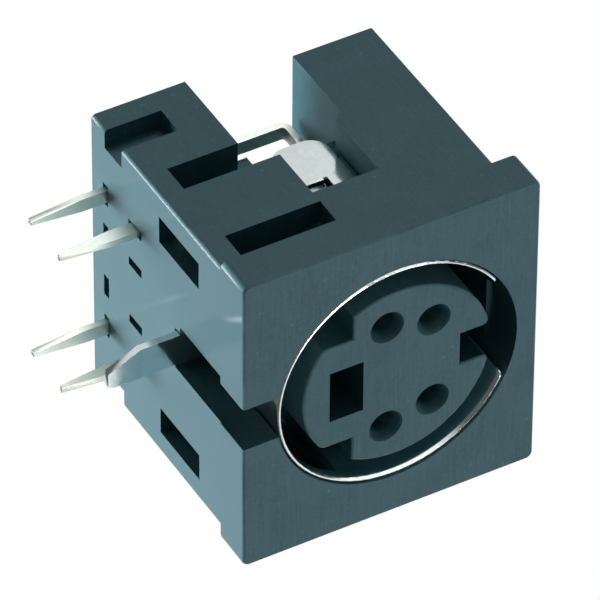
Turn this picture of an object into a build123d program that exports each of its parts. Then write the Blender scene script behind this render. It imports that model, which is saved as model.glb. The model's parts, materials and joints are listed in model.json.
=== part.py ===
from build123d import *
import math
import os

# Right-angle mini-din socket for a printed board, in millimetres.
# X runs across the width, Y from the mating face back to the rear and Z up
# from the board. Depths are measured from the mating face while the pieces
# are drawn. The finished part is then moved so that its origin lies on the
# board face, midway between the two tails of the front row.

# Flange round the mating face
flange_width = 14.0
flange_height = 12.71
flange_thickness = 1.75
flange_drop = 0.12         # how far the flange hangs below the board face
flange_corner = 0.3
edge_round = 0.12

# Body behind the flange
side_inset = 0.5           # each flank stands this far inside the flange
top_step = 0.77            # the roof stands this far below the flange
roof_depth = 11.3
roof_underside = 8.32
base_depth = 11.97
base_height = 4.03
base_front = 7.86
flank_round = 0.1
board_edge_round = 0.18    # along the two lower edges

# Side openings, the same on both flanks
cheek_height = 5.09
cheek_rear = 6.54
gap_floor = 1.0
window_front = 4.04
window_top = 7.9
window_step = 7.24         # where the window's top starts to rise to the roof underside

# Socket, round one axis along Y
axis_z = 6.51
nose_radius = 4.08
nose_round = 0.12
socket_depth = 6.9
plate_thickness = 1.1
roof_wall = 0.43

# Notches and key hole in the nose, measured from the axis
top_notch_width = 1.5
top_notch_floor = 2.75
top_notch_round = 0.25
lobe_width = 4.95
lobe_top = -1.93
lobe_round = 0.35
key_width = 2.42
key_height = 1.45
key_centre = -2.2
key_depth = 6.0

# Plug pin holes
pin_circle = 2.53
upper_angle = 37.5
lower_angle = -10.8
pin_hole = 1.05
countersink = 1.45
countersink_depth = 0.55
cavity_front = 1.2
cavity_clearance = 0.15

# Shield, folded from one sheet
sheet = 0.3
shell_outer = 5.15
shell_clearance = 0.05
shell_front = 0.03
shell_rear = 4.95
lip_round = 0.12
shell_gap_left = 31.0      # degrees from straight up to the shell's two ends
shell_gap_right = 23.0
shell_corner = 0.3         # at the two ends, on the mouth's side
tongue_rear = 8.15
tongue_half = 1.19         # above and below the axis
tongue_overlap = 0.4       # how far a tongue runs along the shell's wall
tongue_corner = 0.8
lance_front = 5.22
lance_rear = 5.85
lance_height = 0.94
lance_drop = 0.29          # the lance's middle lies this far below the axis
lance_slit = 0.09
lance_bend = 14.0          # degrees inwards
tab_left = -0.78           # the ground tab stands off centre
tab_right = 0.62
tab_front = 5.05
tab_tip = -3.1
tab_taper_start = -1.7
tab_tip_left = -0.12
tab_foot_overlap = 0.3
tab_slot_clearance = 0.07

# Slot under the shell that its ground tab slides in along
slot_width = 2.3
slot_front_width = 2.0
slot_rear = 5.08

# Core pockets in the housing
core_wall = 0.5            # plastic left round the bore
side_core_front = 2.1
side_core_rear = 3.48
side_core_low = 1.03
side_core_inner = 3.2
floor_core_inner = 4.2
floor_core_outer = 5.45
floor_core_front = 3.62
floor_core_rear = 6.68
floor_core_top = 4.6
notch_front = 9.6
notch_rear = 10.93
notch_height = 2.43
notch_depth = 0.85

# Contacts, stamped from thin strip
strip = 0.28
sleeve_front = 1.35
sleeve_rear = 5.1
sleeve_slit = 0.22
sleeve_slit_rear = 4.0
sleeve_overlap = 0.6       # how far a strip runs along its sleeve's wall
sleeve_end_room = 0.1      # free length behind a sleeve's bore
bend_inner = 0.15
tail_spacing = 6.66
tail_width = 0.6
tail_tip = -3.25
tail_tip_width = 0.16
tail_taper = 2.2
front_row = 8.6
rear_row = 10.92
upper_strip_drop = 0.25    # the strip's middle lies this far below its pin's axis
upper_neck = 1.05
neck_length = 0.3
flare_length = 1.0         # where the strip widens from its neck to its tail
arm_below = 0.44           # the blade's edges, below and above its pin's axis
arm_above = 0.41
arm_room = 0.1
joggle_front = 5.8
joggle_rear = 6.4
corner_round = 0.4

# Tail slots through the base, and the spare ones of the same mould
tail_slot_length = 1.0
tail_slot_width = 0.4
spare_front_x = 1.46
spare_rear_x = 1.3
spare_depth = 3.0

# Rib between the two rows of tails
rib_side_clearance = 0.2
rib_rear_clearance = 0.1
rib_height = 5.95
rib_root = 0.5             # how far the rib runs into the plate and the base

# Values worked out from those above
half_flange = flange_width / 2
half_body = half_flange - side_inset
flange_low = -flange_drop
flange_high = flange_height - flange_drop
body_top = flange_high - top_step
bore_radius = shell_outer + shell_clearance
shell_inner = shell_outer - sheet
lance_low = axis_z - lance_drop - lance_height / 2
lance_high = lance_low + lance_height
plate_half = shell_inner - 2 * shell_clearance
plate_rear = socket_depth + plate_thickness
sleeve_outer = pin_hole + 2 * strip
cavity_radius = sleeve_outer / 2 + cavity_clearance
tail_x = tail_spacing / 2
slot_top = axis_z - nose_radius - sheet

# Working allowances
beyond = 1.0               # how far a cut runs past the face it opens
near = 0.01                # two measures closer than this are the same


def on_pin_circle(angle):
    """X and Z of a pin hole, from its angle above the horizontal."""
    turn = math.radians(angle)
    return pin_circle * math.cos(turn), axis_z + pin_circle * math.sin(turn)


def block(x0, x1, y0, y1, z0, z1):
    """A box between two corners."""
    centre = Pos((x0 + x1) / 2, (y0 + y1) / 2, (z0 + z1) / 2)
    return centre * Box(x1 - x0, y1 - y0, z1 - z0)


def rod(radius, y0, y1, x=0.0, z=axis_z):
    """A cylinder along Y."""
    return Pos(x, (y0 + y1) / 2, z) * Rot(X=90) * Cylinder(radius, y1 - y0)


def across(points, x0, x1):
    """A side outline of (Y, Z) points, extruded along X."""
    outline = Plane.YZ.offset(x0) * make_face(Polyline(*points, close=True))
    return extrude(outline, x1 - x0)


def upright(points, z0, z1):
    """A plan outline of (X, Y) points, extruded along Z."""
    outline = Plane.XY.offset(z0) * make_face(Polyline(*points, close=True))
    return extrude(outline, z1 - z0)


def backwards(points, y0, y1):
    """A front outline of (X, Z) points, extruded along Y."""
    outline = Plane.XZ.offset(-y0) * make_face(Polyline(*points, close=True))
    return extrude(outline, -(y1 - y0))


def both_sides(shape):
    """A shape on the +X side and its mirror image."""
    return [shape, mirror(shape, Plane.YZ)]


def edges_along(shape, x, low, high):
    """The edges along Y that stand at plus or minus x, between two heights."""
    return [
        edge
        for edge in shape.edges().filter_by(Axis.Y)
        if abs(abs(edge.center().X) - x) < near and low < edge.center().Z < high
    ]


def flange():
    """The front plate, with rounded corners and a softened front rim."""
    plate = block(-half_flange, half_flange, 0, flange_thickness, flange_low, flange_high)
    plate = fillet(plate.edges().filter_by(Axis.Y), flange_corner)
    return fillet(plate.faces().sort_by(Axis.Y)[0].edges(), edge_round)


def body():
    """The block behind the flange: a roof over a base, open between them at the rear."""
    whole = block(-half_body, half_body, flange_thickness / 2, base_depth, 0, body_top)
    whole = fillet(whole.edges().filter_by(Axis.Y).sort_by(Axis.Z)[:2], board_edge_round)
    whole = fillet(whole.edges().filter_by(Axis.Y).sort_by(Axis.Z)[-2:], flank_round)
    span = half_body + beyond
    whole -= block(-span, span, roof_depth, base_depth + beyond, base_height, body_top + beyond)
    whole -= block(-span, span, plate_rear, base_depth + beyond, base_height, roof_underside)
    return whole


def side_openings():
    """Window over the cheek, and the gap between cheek and base, through each flank."""
    rise = roof_underside - window_top
    outline = [
        (window_front, cheek_height),
        (cheek_rear, cheek_height),
        (cheek_rear, gap_floor),
        (base_front, gap_floor),
        (base_front, base_height),
        (plate_rear + beyond, base_height),
        (plate_rear + beyond, roof_underside),
        (window_step + rise, roof_underside),
        (window_step, window_top),
        (window_front, window_top),
    ]
    return both_sides(across(outline, plate_half, half_body + beyond))


def nose():
    """The round core that carries the pin holes, with its three notches."""
    core = rod(nose_radius, 0, socket_depth + beyond)
    reach = 2 * nose_radius
    half_notch, half_lobe = top_notch_width / 2, lobe_width / 2
    floor = axis_z + top_notch_floor
    core -= block(-half_notch, half_notch, -beyond, socket_depth, floor, axis_z + reach)
    lobe_side = block(half_lobe, reach, -beyond, socket_depth, axis_z - reach, axis_z + lobe_top)
    for cut in both_sides(lobe_side):
        core -= cut
    core = fillet(edges_along(core, half_notch, floor + top_notch_round, axis_z + reach), top_notch_round)
    core = fillet(edges_along(core, half_lobe, axis_z - reach, axis_z + lobe_top - lobe_round), lobe_round)
    return fillet(core.faces().sort_by(Axis.Y)[0].edges(), nose_round)


def socket_room():
    """The space round the nose, with a flat ceiling where the shell has its gap."""
    ceiling = body_top - roof_wall
    room = rod(bore_radius, -beyond, socket_depth)
    room -= block(-bore_radius, bore_radius, flange_thickness, socket_depth, ceiling, body_top + beyond)
    return room - nose()


def tab_slot():
    """The slot from the mating face to the ground tab, open to the board and the socket."""
    front = slot_front_width / 2
    half = slot_width / 2
    low = flange_low - beyond
    cut = block(-front, front, -beyond, flange_thickness, low, slot_top)
    cut += block(-half, half, flange_thickness, slot_rear, low, slot_top)
    seat_left = tab_left - tab_slot_clearance
    seat_rear = tab_front + sheet + 2 * tab_slot_clearance
    return cut + block(seat_left, half, slot_rear, seat_rear, low, slot_top)


def core_pockets():
    """Pockets that keep the walls even: two in each flank and one under each cheek."""
    guard = rod(bore_radius + core_wall, 0, base_depth)
    outside = half_body + beyond
    side = block(side_core_inner, outside, side_core_front, side_core_rear, side_core_low, cheek_height)
    front, rear = floor_core_front, floor_core_rear
    under = block(floor_core_inner, floor_core_outer, front, rear, -beyond, floor_core_top)
    notch = block(half_body - notch_depth, outside, notch_front, notch_rear, -beyond, notch_height)
    return both_sides(side - guard) + both_sides(under - guard) + both_sides(notch)


def pin_cavities():
    """For each pin: a countersunk hole in the nose and a cavity open to the rear."""
    cuts = []
    for angle in (upper_angle, lower_angle):
        x, z = on_pin_circle(angle)
        hole = rod(pin_hole / 2, -beyond, cavity_front + beyond / 2, x, z)
        mouth = Cone(pin_hole / 2, countersink / 2, countersink_depth)
        hole += Pos(x, countersink_depth / 2, z) * Rot(X=90) * mouth
        hole += rod(cavity_radius, cavity_front, plate_rear + beyond / 2, x, z)
        cuts += both_sides(hole)
    low_x, low_z = on_pin_circle(lower_angle)
    arm_side = tail_x + strip / 2 + arm_room / 2
    arm_front = sleeve_rear - sleeve_overlap - arm_room
    arm_low, arm_high = low_z - arm_below - arm_room, low_z + arm_above + arm_room
    arm = block(low_x, arm_side, arm_front, plate_rear + beyond / 2, arm_low, arm_high)
    return cuts + both_sides(arm)


def tail_slots():
    """Slots for the four tails, right through the base, and four blind spare ones."""
    long, short = tail_slot_length / 2, tail_slot_width / 2
    through = base_height + beyond
    cuts = []
    for x, top in ((tail_x, through), (spare_front_x, spare_depth)):
        cuts += both_sides(block(x - short, x + short, front_row - long, front_row + long, -beyond, top))
    for x, top in ((tail_x, through), (spare_rear_x, spare_depth)):
        cuts += both_sides(block(x - long, x + long, rear_row - short, rear_row + short, -beyond, top))
    return cuts


def housing():
    """The one-piece moulding."""
    shape = body() + flange()
    rib_half = tail_x - tail_slot_width / 2 - rib_side_clearance
    rib_rear = rear_row - tail_slot_width / 2 - rib_rear_clearance
    shape += block(-rib_half, rib_half, plate_rear - rib_root, rib_rear, base_height - rib_root, rib_height)
    for cut in side_openings():
        shape -= cut
    shape -= socket_room()
    shape -= tab_slot()
    half_key = key_width / 2
    key_low = axis_z + key_centre - key_height / 2
    shape -= block(-half_key, half_key, -beyond, key_depth, key_low, key_low + key_height)
    for cut in core_pockets() + pin_cavities() + tail_slots():
        shape -= cut
    return shape


def shell():
    """The open ring that the plug's metal skirt slides into, rounded at its mouth and ends."""
    wall = Polyline(
        (shell_inner, shell_front),
        (shell_inner, shell_rear),
        (shell_outer, shell_rear),
        (shell_outer, shell_front),
        close=True,
    )
    section = Plane.XY.offset(axis_z) * make_face(wall)
    axis = Axis((0, 0, axis_z), (0, 1, 0))
    arc = 360 - shell_gap_left - shell_gap_right
    ring = revolve(section, axis, arc).rotate(axis, -(90 - shell_gap_right))
    ring = fillet(mouth_edges(ring, GeomType.LINE), shell_corner)
    return fillet(mouth_edges(ring, GeomType.CIRCLE), lip_round)


def mouth_edges(ring, kind):
    """The straight or round edges of the shell's front face."""
    return ring.faces().sort_by(Axis.Y)[0].edges().filter_by(kind)


def tongues():
    """The two flat side tongues behind the shell, each with a window for its spring lance."""
    front = shell_rear - tongue_overlap
    low, high = axis_z - tongue_half, axis_z + tongue_half
    leaf = block(shell_inner, shell_outer, front, tongue_rear, low, high)
    leaf = fillet(leaf.edges().filter_by(Axis.X).sort_by(Axis.Y)[2:], tongue_corner)
    rear = lance_rear + lance_slit
    low, high = lance_low - lance_slit, lance_high + lance_slit
    leaf -= block(shell_inner - beyond, shell_outer + beyond, lance_front, rear, low, high)
    return both_sides(leaf)


def lances():
    """Spring fingers that press on the plug's skirt, bent inwards at their free ends."""
    length = lance_rear - lance_front + sheet / 2
    leaf = Pos(-sheet / 2, length / 2, 0) * Box(sheet, length, lance_height)
    root = Pos(shell_outer, lance_front - sheet / 2, axis_z - lance_drop)
    return both_sides(root * Rot(Z=lance_bend) * leaf)


def ground_tab():
    """The tail under the shell that is soldered to the board's ground."""
    rear = tab_front + sheet
    top = axis_z - shell_outer + sheet / 2
    foot = rod(shell_outer, shell_rear - tab_foot_overlap, rear)
    foot -= rod(shell_inner, shell_rear - beyond, rear + beyond)
    foot &= block(tab_left, tab_right, 0, base_depth, 0, axis_z)
    outline = [
        (tab_left, top),
        (tab_left, tab_taper_start),
        (tab_tip_left, tab_tip),
        (tab_right - edge_round, tab_tip),
        (tab_right, tab_tip + 2 * edge_round),
        (tab_right, top),
    ]
    return foot + backwards(outline, tab_front, rear)


def shield():
    """Shell, tongues, lances and ground tab, folded from one sheet."""
    shape = shell() + ground_tab()
    for leaf in tongues() + lances():
        shape += leaf
    return shape


def pin_way(x, z):
    """The space that a plug pin takes inside its contact."""
    return rod(pin_hole / 2, sleeve_front - beyond, sleeve_rear + sleeve_end_room, x, z)


def sleeve(x, z):
    """The split sleeve that grips a plug pin."""
    tube = rod(sleeve_outer / 2, sleeve_front, sleeve_rear, x, z)
    tube -= pin_way(x, z)
    half = sleeve_slit / 2
    front = sleeve_front - beyond
    tube -= block(x - sleeve_outer, x + sleeve_outer, front, sleeve_slit_rear, z - half, z + half)
    return tube


def upper_contact():
    """Contact of an upper pin: its strip runs back over the rib and folds down to the rear row."""
    x, z = on_pin_circle(upper_angle)
    half = strip / 2
    low, high = z - upper_strip_drop - half, z - upper_strip_drop + half
    front = sleeve_rear - sleeve_overlap
    fold_front, fold_rear = rear_row - half, rear_row + half
    ribbon = elbow(front, fold_front, fold_rear, low, high)
    ribbon = fillet(folds(ribbon, high), bend_inner + strip)
    ribbon = fillet(folds(ribbon, low), bend_inner)
    neck, tail = upper_neck / 2, tail_width / 2
    widens, straight = plate_rear + neck_length, rear_row - flare_length
    plan = [
        (x - neck, front),
        (x + neck, front),
        (x + neck, widens),
        (tail_x + tail, straight),
        (tail_x + tail, fold_rear),
        (tail_x - tail, fold_rear),
        (tail_x - tail, straight),
        (x - neck, widens),
    ]
    ribbon &= upright(plan, tail_tip, high)
    for side in (-1, 1):
        ribbon -= backwards(tip_wedge(tail_x, side), fold_front - beyond, fold_rear + beyond)
    return sleeve(x, z) + (ribbon - pin_way(x, z))


def elbow(front, tail_front, tail_rear, low, high):
    """A side outline that runs back and then down to the tips, across half the body."""
    outline = [
        (front, low),
        (tail_front, low),
        (tail_front, tail_tip),
        (tail_rear, tail_tip),
        (tail_rear, high),
        (front, high),
    ]
    return across(outline, 0, half_body)


def folds(ribbon, height):
    """The fold edges of a strip at one height, behind the plate."""
    return [
        edge
        for edge in ribbon.edges().filter_by(Axis.X)
        if abs(edge.center().Z - height) < near and edge.center().Y > plate_rear
    ]


def lower_contact():
    """Contact of a lower pin: an upright blade beside the rib, turned down to the front row."""
    x, z = on_pin_circle(lower_angle)
    half = strip / 2
    blade_x = x + sleeve_outer / 2 - half
    low, high = z - arm_below, z + arm_above
    front = sleeve_rear - sleeve_overlap
    tail_front, tail_rear = front_row - tail_width / 2, front_row + tail_width / 2
    blade = elbow(front, tail_front, tail_rear, low, high)
    blade = fillet(folds(blade, low) + folds(blade, high), corner_round)
    plan = [
        (blade_x - half, front),
        (blade_x + half, front),
        (blade_x + half, joggle_front),
        (tail_x + half, joggle_rear),
        (tail_x + half, tail_rear),
        (tail_x - half, tail_rear),
        (tail_x - half, joggle_rear),
        (blade_x - half, joggle_front),
    ]
    blade &= upright(plan, tail_tip, high)
    for side in (-1, 1):
        blade -= across(tip_wedge(front_row, side), 0, half_body)
    return sleeve(x, z) + (blade - pin_way(x, z))


def tip_wedge(middle, side):
    """Outline of the wedge that narrows one edge of a tail to its tip."""
    tail, tip = tail_width / 2, tail_tip_width / 2
    start = tail_tip + tail_taper
    return [
        (middle + side * tail, start),
        (middle + side * tip, tail_tip),
        (middle + side * tail_width, tail_tip - near),
        (middle + side * tail_width, start),
    ]


def main():
    """Builds every piece and writes it to its own file."""
    os.makedirs("parts", exist_ok=True)
    upper, lower = upper_contact(), lower_contact()
    pieces = {
        "housing": housing(),
        "shield": shield(),
        "contact_upper_right": upper,
        "contact_upper_left": mirror(upper, Plane.YZ),
        "contact_lower_right": lower,
        "contact_lower_left": mirror(lower, Plane.YZ),
    }
    for name, piece in pieces.items():
        piece = Pos(0, -front_row, 0) * piece
        export_step(piece, "parts/" + name + ".step")
        print(name, "solids", len(piece.solids()), "volume", round(piece.volume, 2))


main()
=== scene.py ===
"""A right-angle mini-din socket for a printed board, dressed and lit for its photograph.

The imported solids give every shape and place. Each one is copied, its facets are joined
into true faces, its edges are softened as moulding and stamping leave them, and it gets
the finish of textured plastic or bright tin.
"""

import json
import logging
import math
from collections.abc import Callable
from dataclasses import dataclass
from enum import Enum
from functools import cached_property, reduce

import bpy
from mathutils import Matrix, Vector


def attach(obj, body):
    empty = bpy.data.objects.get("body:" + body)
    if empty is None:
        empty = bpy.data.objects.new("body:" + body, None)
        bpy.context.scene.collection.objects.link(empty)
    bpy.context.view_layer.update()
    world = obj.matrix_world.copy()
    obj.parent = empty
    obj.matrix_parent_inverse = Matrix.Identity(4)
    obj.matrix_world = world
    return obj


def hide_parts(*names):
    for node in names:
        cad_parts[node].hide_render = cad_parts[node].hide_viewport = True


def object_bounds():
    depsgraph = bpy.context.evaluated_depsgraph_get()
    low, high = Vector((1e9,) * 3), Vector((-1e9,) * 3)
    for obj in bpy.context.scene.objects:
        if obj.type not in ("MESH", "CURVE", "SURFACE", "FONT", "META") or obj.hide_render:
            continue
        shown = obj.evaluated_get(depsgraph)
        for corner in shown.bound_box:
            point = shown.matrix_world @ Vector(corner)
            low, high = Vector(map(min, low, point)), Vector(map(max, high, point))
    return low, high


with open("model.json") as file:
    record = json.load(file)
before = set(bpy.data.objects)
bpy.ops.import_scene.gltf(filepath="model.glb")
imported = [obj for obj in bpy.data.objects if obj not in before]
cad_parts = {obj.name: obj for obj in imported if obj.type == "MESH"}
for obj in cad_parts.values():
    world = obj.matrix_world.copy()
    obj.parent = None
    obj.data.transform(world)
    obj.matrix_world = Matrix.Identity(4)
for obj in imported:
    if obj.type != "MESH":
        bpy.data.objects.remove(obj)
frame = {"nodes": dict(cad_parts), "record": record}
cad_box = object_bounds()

log = logging.getLogger("mini_din_socket")

Colour = tuple[float, float, float, float]
Triple = tuple[float, float, float]
Socket = bpy.types.NodeSocket

MM = 0.001

# A screen's levels follow a straight line up to the toe's end and a power beyond it
FULL_LEVEL = 255
TOE_END = 0.04045
TOE_SLOPE = 12.92
CURVE_SHIFT = 0.055
CURVE_POWER = 2.4

# Where the mix node keeps its colours
FIRST_COLOUR = 6
SECOND_COLOUR = 7
MIXED_COLOUR = 2


class Slot(Enum):
    """The record's material slots."""

    PLASTIC = "plastic"
    METAL = "tinned_metal"


def linear(red: int, green: int, blue: int) -> Colour:
    """Turns a screen colour into a linear one.

    Args:
        red: Red, from 0 to 255.
        green: Green, from 0 to 255.
        blue: Blue, from 0 to 255.

    Returns:
        The linear colour with an alpha of 1.
    """
    def channel(level: int) -> float:
        """One channel of the colour."""
        share = level / FULL_LEVEL
        if share <= TOE_END:
            return share / TOE_SLOPE
        return ((share + CURVE_SHIFT) / (1 + CURVE_SHIFT)) ** CURVE_POWER

    return channel(red), channel(green), channel(blue), 1.0


def even(length: float) -> Triple:
    """The same length along X, Y and Z."""
    return length, length, length


def add_object(name: str, data: bpy.types.ID) -> bpy.types.Object:
    """Puts a new object into the scene.

    Args:
        name: Its name.
        data: Its mesh, lamp or camera.

    Returns:
        The object.
    """
    made = bpy.data.objects.new(name, data)
    bpy.context.scene.collection.objects.link(made)
    return made


@dataclass(frozen=True)
class Span:
    """The two ends of a value and what they become. Left plain, it clamps from 0 to 1."""

    low: float = 0.0
    high: float = 1.0
    start: float = 0.0
    end: float = 1.0


INVERTED = Span(start=1.0, end=0.0)


@dataclass(frozen=True)
class Pattern:
    """Noise with marks of a set size, in metres along X, Y and Z."""

    size: Triple
    detail: float = 1.0
    roughness: float = 0.5


class NodeDesk:
    """Lays out the nodes of one material or world and joins their sockets."""

    def __init__(self, owner: bpy.types.Material | bpy.types.World) -> None:
        """Starts with an empty tree.

        Args:
            owner: The material or world.
        """
        self.owner = owner
        owner.use_nodes = True
        self.tree = owner.node_tree
        self.tree.nodes.clear()
        kind = "World" if isinstance(owner, bpy.types.World) else "Material"
        self.output = self.node("ShaderNodeOutput" + kind)

    @classmethod
    def material(cls, name: str) -> "NodeDesk":
        """Starts a new material."""
        return cls(bpy.data.materials.new(name))

    @cached_property
    def coords(self) -> bpy.types.Node:
        """The coordinates, added when they are first asked for."""
        return self.node("ShaderNodeTexCoord")

    def node(self, kind: str, **settings: object) -> bpy.types.Node:
        """Adds a node.

        Args:
            kind: The node's type.
            **settings: Attributes to set on it.

        Returns:
            The new node.
        """
        made = self.tree.nodes.new(kind)
        for name, value in settings.items():
            setattr(made, name, value)
        return made

    def join(self, source: Socket, target: Socket) -> None:
        """Joins an output to an input."""
        self.tree.links.new(source, target)

    def feed(self, source: Socket | Colour | float, target: Socket) -> None:
        """Joins an output to an input, or sets the input to a fixed value."""
        if isinstance(source, Socket):
            self.join(source, target)
        else:
            target.default_value = source

    def noise(self, pattern: Pattern) -> Socket:
        """Noise over the object.

        Args:
            pattern: The size of its marks and how finely they break up.

        Returns:
            The noise, from 0 to 1.
        """
        mapping = self.node("ShaderNodeMapping")
        mapping.inputs["Scale"].default_value = tuple(1 / length for length in pattern.size)
        self.join(self.coords.outputs["Object"], mapping.inputs["Vector"])
        made = self.node("ShaderNodeTexNoise")
        made.inputs["Scale"].default_value = 1.0
        made.inputs["Detail"].default_value = pattern.detail
        made.inputs["Roughness"].default_value = pattern.roughness
        self.join(mapping.outputs["Vector"], made.inputs["Vector"])
        return made.outputs["Fac"]

    def ramp(self, source: Socket, span: Span) -> Socket:
        """Maps a span of a value to another span, clamped.

        Args:
            source: The value.
            span: Its two ends and what they become.

        Returns:
            The mapped value.
        """
        made = self.node("ShaderNodeMapRange")
        made.inputs["From Min"].default_value = span.low
        made.inputs["From Max"].default_value = span.high
        made.inputs["To Min"].default_value = span.start
        made.inputs["To Max"].default_value = span.end
        self.join(source, made.inputs["Value"])
        return made.outputs["Result"]

    def math(
        self, operation: str, first: Socket, second: Socket | float | None = None
    ) -> Socket:
        """Works out one sum.

        Args:
            operation: The operation's name.
            first: The first value.
            second: The second value, where the operation takes one.

        Returns:
            The result.
        """
        made = self.node("ShaderNodeMath", operation=operation)
        self.join(first, made.inputs[0])
        if second is not None:
            self.feed(second, made.inputs[1])
        return made.outputs["Value"]

    def product(self, first: Socket, second: Socket | float) -> Socket:
        """Multiplies two values."""
        return self.math("MULTIPLY", first, second)

    def largest(self, values: list[Socket]) -> Socket:
        """The largest of several values."""
        return reduce(lambda first, second: self.math("MAXIMUM", first, second), values)

    def blend(self, factor: Socket, first: Socket | Colour, second: Socket | Colour) -> Socket:
        """Mixes two colours.

        Args:
            factor: 0 for the first colour and 1 for the second.
            first: The first colour.
            second: The second colour.

        Returns:
            The mixed colour.
        """
        made = self.node("ShaderNodeMix", data_type="RGBA")
        self.join(factor, made.inputs["Factor"])
        self.feed(first, made.inputs[FIRST_COLOUR])
        self.feed(second, made.inputs[SECOND_COLOUR])
        return made.outputs[MIXED_COLOUR]

    def along(self, vector: Socket, direction: Triple) -> Socket:
        """How far a vector points along a direction, from -1 to 1."""
        made = self.node("ShaderNodeVectorMath", operation="DOT_PRODUCT")
        self.join(vector, made.inputs[0])
        made.inputs[1].default_value = Vector(direction).normalized()
        return made.outputs["Value"]

    def split(self, coordinates: str) -> list[Socket]:
        """The X, Y and Z of one kind of coordinates, such as Object or Normal."""
        made = self.node("ShaderNodeSeparateXYZ")
        self.join(self.coords.outputs[coordinates], made.inputs["Vector"])
        return list(made.outputs)

    def squareness(self) -> Socket:
        """How nearly the surface faces along an axis: 1 on flat faces, less on edges."""
        return self.largest([self.math("ABSOLUTE", share) for share in self.split("Normal")])

    def bump(self, height: Socket, strength: float, depth: float) -> Socket:
        """Turns a height into a bumped normal.

        Args:
            height: The height, from 0 to 1.
            strength: How strongly it shows.
            depth: The height's real size in metres.

        Returns:
            The bumped normal.
        """
        made = self.node("ShaderNodeBump")
        made.inputs["Strength"].default_value = strength
        made.inputs["Distance"].default_value = depth
        self.join(height, made.inputs["Height"])
        return made.outputs["Normal"]

    def principled(self) -> bpy.types.Node:
        """The surface shader, joined to the output."""
        shader = self.node("ShaderNodeBsdfPrincipled")
        self.join(shader.outputs["BSDF"], self.output.inputs["Surface"])
        return shader


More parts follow.
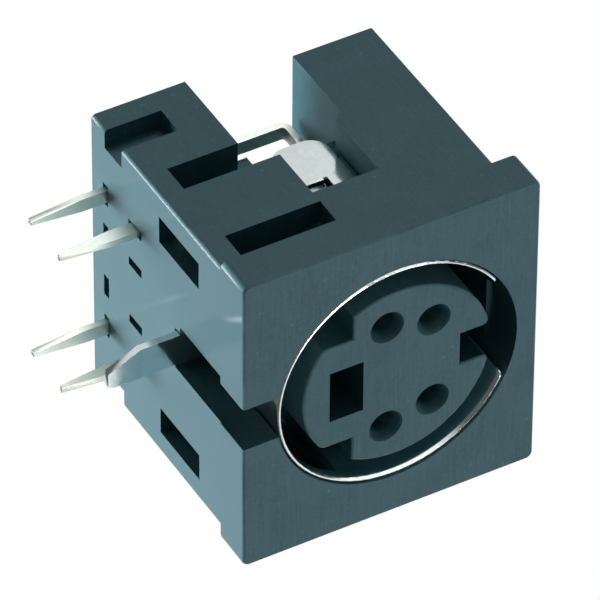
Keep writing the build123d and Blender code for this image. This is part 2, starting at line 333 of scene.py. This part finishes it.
@dataclass(frozen=True)
class MouldedPlastic:
    """Grey-teal plastic from a finely eroded mould, smoother on the faces towards the board, where
    a paler colour is a painted sheen. Edges are paler here and there, partly as wear and partly as
    a painted highlight.

    The spans say which part of a noise or of a normal's share shows, and how strongly.
    """

    light: Colour = linear(53, 93, 102)
    dark: Colour = linear(36, 75, 84)
    # Painted sheen: a paler colour laid on the faces towards the board, where the gloss looks
    # bright
    board_sheen: Colour = linear(80, 105, 112)
    scratched: Colour = linear(88, 120, 127)
    # A paler colour for worn specks and edges; on the edges it is partly a painted highlight
    worn_and_highlight: Colour = linear(104, 135, 141)

    grain: Pattern = Pattern(even(0.055 * MM), detail=2.0, roughness=0.6)
    cloud: Pattern = Pattern(even(2.2 * MM), detail=3.0)
    speck: Pattern = Pattern(even(0.16 * MM))
    scratch: Pattern = Pattern((5.0 * MM, 0.045 * MM, 0.045 * MM))
    front_streak: Pattern = Pattern((1.3 * MM, 0.06 * MM, 0.06 * MM))
    side_streak: Pattern = Pattern((0.06 * MM, 1.3 * MM, 0.06 * MM))

    facing_out: Span = Span(-0.95, -0.8, 1.0, 0.0)
    polish_height: Span = Span(0.3 * MM, 0.6 * MM, 1.0, 0.0)
    cloud_tone: Span = Span(0.35, 0.65, end=0.3)
    fine_tone: Span = Span(0.3, 0.7, end=0.35)
    scratch_cut: Span = Span(0.62, 0.74)
    speck_cut: Span = Span(0.75, 0.81)
    edge_turn: Span = Span(0.97, 0.85)
    edge_cloud: Span = Span(0.3, 0.6)
    grain_gloss: Span = Span(0.3, 0.7, -0.04, 0.04)

    board_sheen_share: float = 0.85
    scratched_share: float = 0.3
    worn_and_highlight_share: float = 0.5
    edge_wear_and_highlight: float = 0.6
    textured_roughness: float = 0.5
    board_roughness: float = 0.11
    shine: float = 0.25
    board_texture: float = 0.2
    scratch_depth: float = 0.6
    bump_strength: float = 0.8
    grain_depth: float = 0.0035 * MM

    def make(self) -> bpy.types.Material:
        """Builds the material."""
        desk = NodeDesk.material("moulded_plastic")
        grain, cloud, speck = (desk.noise(noise) for noise in (self.grain, self.cloud, self.speck))
        _, normal_y, normal_z = desk.split("Normal")
        _, _, place_z = desk.split("Object")
        front = desk.ramp(normal_y, self.facing_out)
        low = desk.ramp(place_z, self.polish_height)
        board = desk.product(desk.ramp(normal_z, self.facing_out), low)
        scratch = desk.product(desk.ramp(desk.noise(self.scratch), self.scratch_cut), front)

        shader = desk.principled()
        colour = desk.blend(self.tone(desk, cloud, speck, front), self.dark, self.light)
        # The faces towards the board get a painted sheen, the front its scratches, and specks and
        # edges turn paler with wear, the edges partly as a painted highlight
        for mask, share, coat in (
            (board, self.board_sheen_share, self.board_sheen),
            (scratch, self.scratched_share, self.scratched),
            (self.wear_and_highlight(desk, cloud, speck), self.worn_and_highlight_share, self.worn_and_highlight),
        ):
            colour = desk.blend(desk.product(mask, share), colour, coat)
        desk.join(colour, shader.inputs["Base Color"])

        rough = desk.ramp(board, Span(start=self.textured_roughness, end=self.board_roughness))
        rough = desk.math("ADD", rough, desk.ramp(grain, self.grain_gloss))
        desk.join(rough, shader.inputs["Roughness"])
        shader.inputs["Specular IOR Level"].default_value = self.shine

        height = desk.product(grain, desk.ramp(board, Span(start=1.0, end=self.board_texture)))
        height = desk.math("SUBTRACT", height, desk.product(scratch, self.scratch_depth))
        desk.join(desk.bump(height, self.bump_strength, self.grain_depth), shader.inputs["Normal"])
        return desk.owner

    def tone(self, desk: NodeDesk, cloud: Socket, speck: Socket, front: Socket) -> Socket:
        """How light the plastic is, from place to place.

        Args:
            desk: The material's desk.
            cloud: The large noise.
            speck: The small noise.
            front: Where the front is. Its streaks run along X and all others along Y.

        Returns:
            The tone, from 0 for dark to 1 for light.
        """
        streak = desk.math(
            "ADD",
            desk.product(desk.noise(self.front_streak), front),
            desk.product(desk.noise(self.side_streak), desk.ramp(front, INVERTED)),
        )
        fine = desk.ramp(streak, self.fine_tone)
        tone = desk.math("ADD", desk.ramp(cloud, self.cloud_tone), fine)
        return desk.math("ADD", tone, desk.ramp(speck, self.fine_tone))

    def wear_and_highlight(self, desk: NodeDesk, cloud: Socket, speck: Socket) -> Socket:
        """Where the plastic is pale: worn at small specks, and on edges here and there, where the
        paleness is partly wear and partly a painted highlight.

        Args:
            desk: The material's desk.
            cloud: The large noise.
            speck: The small noise.

        Returns:
            The wear and painted edge highlight, from 0 to 1.
        """
        turned = desk.ramp(desk.squareness(), self.edge_turn)
        # Edges turn paler here and there, partly as wear and partly as a painted highlight
        edge = desk.product(turned, desk.ramp(cloud, self.edge_cloud))
        return desk.largest([desk.ramp(speck, self.speck_cut), desk.product(edge, self.edge_wear_and_highlight)])


@dataclass(frozen=True)
class TinPlate:
    """Tin plate on stamped sheet, with faint rolling lines and patches of duller tin."""

    name: str
    bright: Colour
    dull: Colour
    roughness: Span
    line_depth: float
    line_strength: float = 0.3
    dull_patch: Span = Span(0.45, 0.8)
    patches: Pattern = Pattern(even(0.9 * MM), detail=3.0, roughness=0.6)
    lines: Pattern = Pattern((0.035 * MM, 0.035 * MM, 1.5 * MM))

    def make(self) -> bpy.types.Material:
        """Builds the material."""
        desk = NodeDesk.material(self.name)
        patches = desk.noise(self.patches)
        shader = desk.principled()
        shader.inputs["Metallic"].default_value = 1.0
        colour = desk.blend(desk.ramp(patches, self.dull_patch), self.bright, self.dull)
        desk.join(colour, shader.inputs["Base Color"])
        desk.join(desk.ramp(patches, self.roughness), shader.inputs["Roughness"])
        lines = desk.bump(desk.noise(self.lines), self.line_strength, self.line_depth)
        desk.join(lines, shader.inputs["Normal"])
        return desk.owner


SHIELD_TIN = TinPlate(
    name="bright_tin",
    bright=(0.76, 0.85, 0.86, 1.0),
    dull=(0.62, 0.64, 0.60, 1.0),
    roughness=Span(0.3, 0.75, 0.09, 0.2),
    line_depth=0.0006 * MM,
)
CONTACT_TIN = TinPlate(
    name="matte_tin",
    bright=(0.68, 0.74, 0.68, 1.0),
    dull=(0.60, 0.64, 0.56, 1.0),
    roughness=Span(0.3, 0.75, 0.36, 0.48),
    line_depth=0.0015 * MM,
)


@dataclass
class FinishedPiece:
    """One solid of the frame, copied and finished as it comes out of its mould or press.

    The full face weight keeps flat faces flat to the light, right up to their rounded edges.
    """

    node: str
    slot: Slot
    edge_radius: float
    edge_steps: int = 2
    shape: Callable[[bpy.types.Object], None] | None = None
    crease_degrees: float = 28.0
    smooth_degrees: float = 60.0
    join_distance: float = 0.0002 * MM
    flat_degrees: float = 0.4
    full_weight: int = 100

    def build(self, material: bpy.types.Material) -> None:
        """Copies the solid, joins its facets, rounds its edges and dresses it.

        Args:
            material: The finish.
        """
        source = frame["nodes"][self.node]
        piece = add_object(self.node + "_finished", source.data.copy())
        bpy.ops.object.select_all(action="DESELECT")
        piece.select_set(True)
        bpy.context.view_layer.objects.active = piece
        self.join_facets()
        if self.shape:
            self.shape(piece)
        self.round_edges(piece)
        self.keep_inside(piece, source)
        bpy.ops.object.shade_smooth_by_angle(angle=math.radians(self.smooth_degrees))
        self.flatten_faces(piece)
        piece.data.materials.clear()
        piece.data.materials.append(material)
        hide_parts(self.node)
        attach(piece, "root")
        log.info("%s has %d faces", piece.name, len(piece.data.polygons))

    def join_facets(self) -> None:
        """Merges the loose triangles and dissolves the lines across flat faces."""
        bpy.ops.object.mode_set(mode="EDIT")
        bpy.ops.mesh.select_all(action="SELECT")
        bpy.ops.mesh.customdata_custom_splitnormals_clear()
        bpy.ops.mesh.remove_doubles(threshold=self.join_distance)
        bpy.ops.mesh.dissolve_limited(angle_limit=math.radians(self.flat_degrees))
        bpy.ops.object.mode_set(mode="OBJECT")

    def round_edges(self, piece: bpy.types.Object) -> None:
        """Rounds every sharp edge a little.

        Args:
            piece: The piece.
        """
        bevel = piece.modifiers.new("edge_round", "BEVEL")
        bevel.width = self.edge_radius
        bevel.segments = self.edge_steps
        bevel.limit_method = "ANGLE"
        bevel.angle_limit = math.radians(self.crease_degrees)
        bevel.use_clamp_overlap = True
        bpy.ops.object.modifier_apply(modifier=bevel.name)

    def keep_inside(self, piece: bpy.types.Object, source: bpy.types.Object) -> None:
        """Brings back vertices that the rounding pushed out of the solid's box.

        Args:
            piece: The piece.
            source: The frame's solid.
        """
        spans = [[vertex.co[axis] for vertex in source.data.vertices] for axis in range(3)]
        lows, highs = [min(span) for span in spans], [max(span) for span in spans]
        for vertex in piece.data.vertices:
            for axis in range(3):
                vertex.co[axis] = min(max(vertex.co[axis], lows[axis]), highs[axis])

    def flatten_faces(self, piece: bpy.types.Object) -> None:
        """Keeps large faces flat to the light and leaves the shading to the rounded edges.

        Args:
            piece: The piece.
        """
        weighted = piece.modifiers.new("flat_faces", "WEIGHTED_NORMAL")
        weighted.keep_sharp = True
        weighted.weight = self.full_weight
        bpy.ops.object.modifier_apply(modifier=weighted.name)


@dataclass
class Housing:
    """The moulding."""

    edge_radius: float = 0.035 * MM

    def build(self, plastic: bpy.types.Material) -> None:
        """Finishes the moulding.

        Args:
            plastic: Its finish.
        """
        FinishedPiece("housing", Slot.PLASTIC, self.edge_radius).build(plastic)


@dataclass
class Shield:
    """The folded sheet shield, with its mouth coined to a lead-in for the plug.

    Each step of the lead-in is a depth inside the mouth and how far it widens, both in mm.
    """

    edge_radius: float = 0.03 * MM
    lead_in_steps: tuple[tuple[float, float], ...] = (
        (0.36, 0.0),
        (0.26, 0.035),
        (0.16, 0.083),
        (0.08, 0.125),
        (0.03, 0.155),
        (0.0, 0.175),
    )
    inner_side: float = 0.14 * MM

    def build(self, tin: bpy.types.Material) -> None:
        """Finishes the shield.

        Args:
            tin: Its finish.
        """
        FinishedPiece("shield", Slot.METAL, self.edge_radius, shape=self.open_mouth).build(tin)

    def widening(self, depth: float) -> float:
        """How far the lead-in stands outside the bore, in metres.

        Args:
            depth: How far it is inside the mouth, in metres.

        Returns:
            The widening of the radius.
        """
        steps = [(deep * MM, wide * MM) for deep, wide in self.lead_in_steps]
        for (deep, narrow), (shallow, wide) in zip(steps, steps[1:]):
            if shallow <= depth <= deep:
                return narrow + (wide - narrow) * (deep - depth) / (deep - shallow)
        return 0.0

    def open_mouth(self, piece: bpy.types.Object) -> None:
        """Widens the inner edge of the mouth to a lead-in for the plug.

        Args:
            piece: The shield.
        """
        mount = next(m for m in frame["record"]["mounts"] if m["name"] == "plug_socket")
        middle = Vector(mount["pos_m"])
        bore = mount["dims"]["r_mm"] * MM
        mouth = min(vertex.co.y for vertex in piece.data.vertices)
        bpy.ops.object.mode_set(mode="EDIT")
        for depth, _ in self.lead_in_steps[:-1]:
            bpy.ops.mesh.select_all(action="SELECT")
            cut_point = (middle.x, mouth + depth * MM, middle.z)
            bpy.ops.mesh.bisect(plane_co=cut_point, plane_no=(0, 1, 0))
        bpy.ops.object.mode_set(mode="OBJECT")
        deepest = self.lead_in_steps[0][0] * MM
        for vertex in piece.data.vertices:
            across = math.hypot(vertex.co.x - middle.x, vertex.co.z - middle.z)
            depth = max(vertex.co.y - mouth, 0.0)
            if abs(across - bore) < self.inner_side and depth < deepest:
                grow = (bore + self.widening(depth)) / across
                vertex.co.x = middle.x + (vertex.co.x - middle.x) * grow
                vertex.co.z = middle.z + (vertex.co.z - middle.z) * grow


@dataclass
class Contacts:
    """The four stamped contacts."""

    edge_radius: float = 0.03 * MM
    nodes: tuple[str, ...] = (
        "contact_upper_left",
        "contact_upper_right",
        "contact_lower_left",
        "contact_lower_right",
    )

    def build(self, tin: bpy.types.Material) -> None:
        """Finishes each contact.

        Args:
            tin: Their finish.
        """
        for node in self.nodes:
            FinishedPiece(node, Slot.METAL, self.edge_radius).build(tin)


@dataclass
class PaleFloor:
    """A pale floor at the tips of the tails. Seen from beneath, it is clear."""

    half_width: float = 400 * MM
    gap: float = 0.02 * MM
    colour: Colour = (0.9, 0.9, 0.9, 1.0)

    def build(self) -> None:
        """Adds the floor just under the lowest tip."""
        bpy.ops.object.select_all(action="DESELECT")
        height = cad_box[0].z - self.gap
        bpy.ops.mesh.primitive_plane_add(size=2 * self.half_width, location=(0, 0, 0))
        floor = bpy.context.object
        floor.name = "pale_floor"
        floor.data.transform(Matrix.Translation((0, 0, height)))
        floor.data.materials.append(self.material())

    def material(self) -> bpy.types.Material:
        """Pale and shadowed from above, clear from beneath and to the lamps' light."""
        desk = NodeDesk.material("pale_floor")
        pale = desk.node("ShaderNodeBsdfDiffuse")
        pale.inputs["Color"].default_value = self.colour
        clear = desk.node("ShaderNodeBsdfTransparent")
        path = desk.node("ShaderNodeLightPath")
        side = desk.node("ShaderNodeNewGeometry")
        seen, beneath = path.outputs["Is Camera Ray"], side.outputs["Backfacing"]
        mix = desk.node("ShaderNodeMixShader")
        desk.join(desk.ramp(desk.math("SUBTRACT", seen, beneath), Span()), mix.inputs["Fac"])
        desk.join(clear.outputs["BSDF"], mix.inputs[1])
        desk.join(pale.outputs["BSDF"], mix.inputs[2])
        desk.join(mix.outputs["Shader"], desk.output.inputs["Surface"])
        return desk.owner


@dataclass(frozen=True)
class SoftBox:
    """One soft lamp that points at the socket."""

    name: str
    direction: Triple
    distance: float
    width: float
    watts: float
    glints: bool = True

    def build(self) -> None:
        """Adds the lamp."""
        data = bpy.data.lights.new(self.name, "AREA")
        data.shape = "SQUARE"
        data.size = self.width
        data.energy = self.watts
        lamp = add_object(self.name, data)
        back = Vector(self.direction).normalized()
        lamp.location = back * self.distance
        lamp.rotation_mode = "QUATERNION"
        lamp.rotation_quaternion = back.to_track_quat("Z", "Y")
        lamp.visible_camera = False
        lamp.visible_glossy = self.glints


@dataclass(frozen=True)
class Panel:
    """A bright patch of the surroundings that only mirrored light finds.

    Its rim and core are cosines of the angle off its middle. It fades in between them.
    """

    direction: Triple
    rim: float
    core: float
    strength: float = 1.0


@dataclass
class Studio:
    """The white surroundings and the lamps."""

    ambient: float = 0.1
    dim: float = 0.12
    panels: tuple[Panel, ...] = (
        Panel((-0.85, -0.15, 0.4), 0.4, 0.8, 1.25),
        Panel((0.72, -0.62, 0.31), 0.8, 0.95),
        Panel((0.8, 0.25, 0.55), 0.45, 0.7),
    )
    lamps: tuple[SoftBox, ...] = (
        SoftBox("board_lamp", (0.22, 0.5, -1.0), 0.08, 0.03, 0.13, glints=False),
        SoftBox("front_lamp", (0.25, -1.0, 0.25), 0.35, 0.14, 0.72),
        SoftBox("side_lamp", (-1.0, 0.35, 0.3), 0.35, 0.14, 0.42),
        SoftBox("right_lamp", (1.0, 0.15, 0.1), 0.35, 0.20, 0.6),
        SoftBox("top_lamp", (0.3, 0.2, 1.0), 0.35, 0.20, 0.6),
        SoftBox("rear_lamp", (0.1, 1.0, -0.6), 0.35, 0.20, 1.4),
    )

    def build(self) -> None:
        """Sets the world and adds the lamps."""
        bpy.context.scene.view_settings.view_transform = "Standard"
        world = bpy.data.worlds.new("white_studio")
        bpy.context.scene.world = world
        desk = NodeDesk(world)
        path = desk.node("ShaderNodeLightPath")
        direction = desk.coords.outputs["Generated"]
        panels = []
        for panel in self.panels:
            fade = Span(panel.rim, panel.core, self.dim, panel.strength)
            panels.append(desk.ramp(desk.along(direction, panel.direction), fade))
        mirrored = desk.product(desk.largest(panels), path.outputs["Is Glossy Ray"])
        seen = desk.math("ADD", path.outputs["Is Camera Ray"], path.outputs["Is Transmission Ray"])
        strength = desk.math("MAXIMUM", desk.math("ADD", mirrored, seen), self.ambient)
        back = desk.node("ShaderNodeBackground")
        back.inputs["Color"].default_value = (1.0, 1.0, 1.0, 1.0)
        desk.join(strength, back.inputs["Strength"])
        desk.join(back.outputs["Background"], desk.output.inputs["Surface"])
        for lamp in self.lamps:
            lamp.build()


@dataclass
class PhotoCamera:
    """The camera, where the photograph was taken: below the board face, turned on its side.

    The sensor's width is in mm, and the clip distances are in metres.
    """

    position: Triple = (-212.738 * MM, -211.583 * MM, -113.476 * MM)
    forward: Triple = (0.66355, 0.64989, 0.37060)
    up: Triple = (-0.74811, 0.57974, 0.32284)
    sensor_width: float = 36.0
    focal_pixels: float = 8465.4
    frame_pixels: float = 600.0
    nearest: float = 10 * MM
    farthest: float = 5.0

    def build(self) -> None:
        """Adds the camera and makes it the scene's."""
        data = bpy.data.cameras.new("photo_camera")
        data.sensor_width = self.sensor_width
        data.lens = self.focal_pixels / self.frame_pixels * self.sensor_width
        data.clip_start = self.nearest
        data.clip_end = self.farthest
        camera = add_object("photo_camera", data)
        back = -Vector(self.forward)
        up = Vector(self.up)
        right = up.cross(back)
        turn = Matrix((right, up, back)).transposed()
        camera.rotation_mode = "QUATERNION"
        camera.rotation_quaternion = turn.to_quaternion()
        camera.location = self.position
        bpy.context.scene.camera = camera


def main() -> None:
    """Builds the socket, its floor, light and camera."""
    logging.basicConfig(level=logging.INFO, format="%(message)s")
    Housing().build(MouldedPlastic().make())
    Shield().build(SHIELD_TIN.make())
    Contacts().build(CONTACT_TIN.make())
    PaleFloor().build()
    Studio().build()
    PhotoCamera().build()


if __name__ == "__main__":
    main()
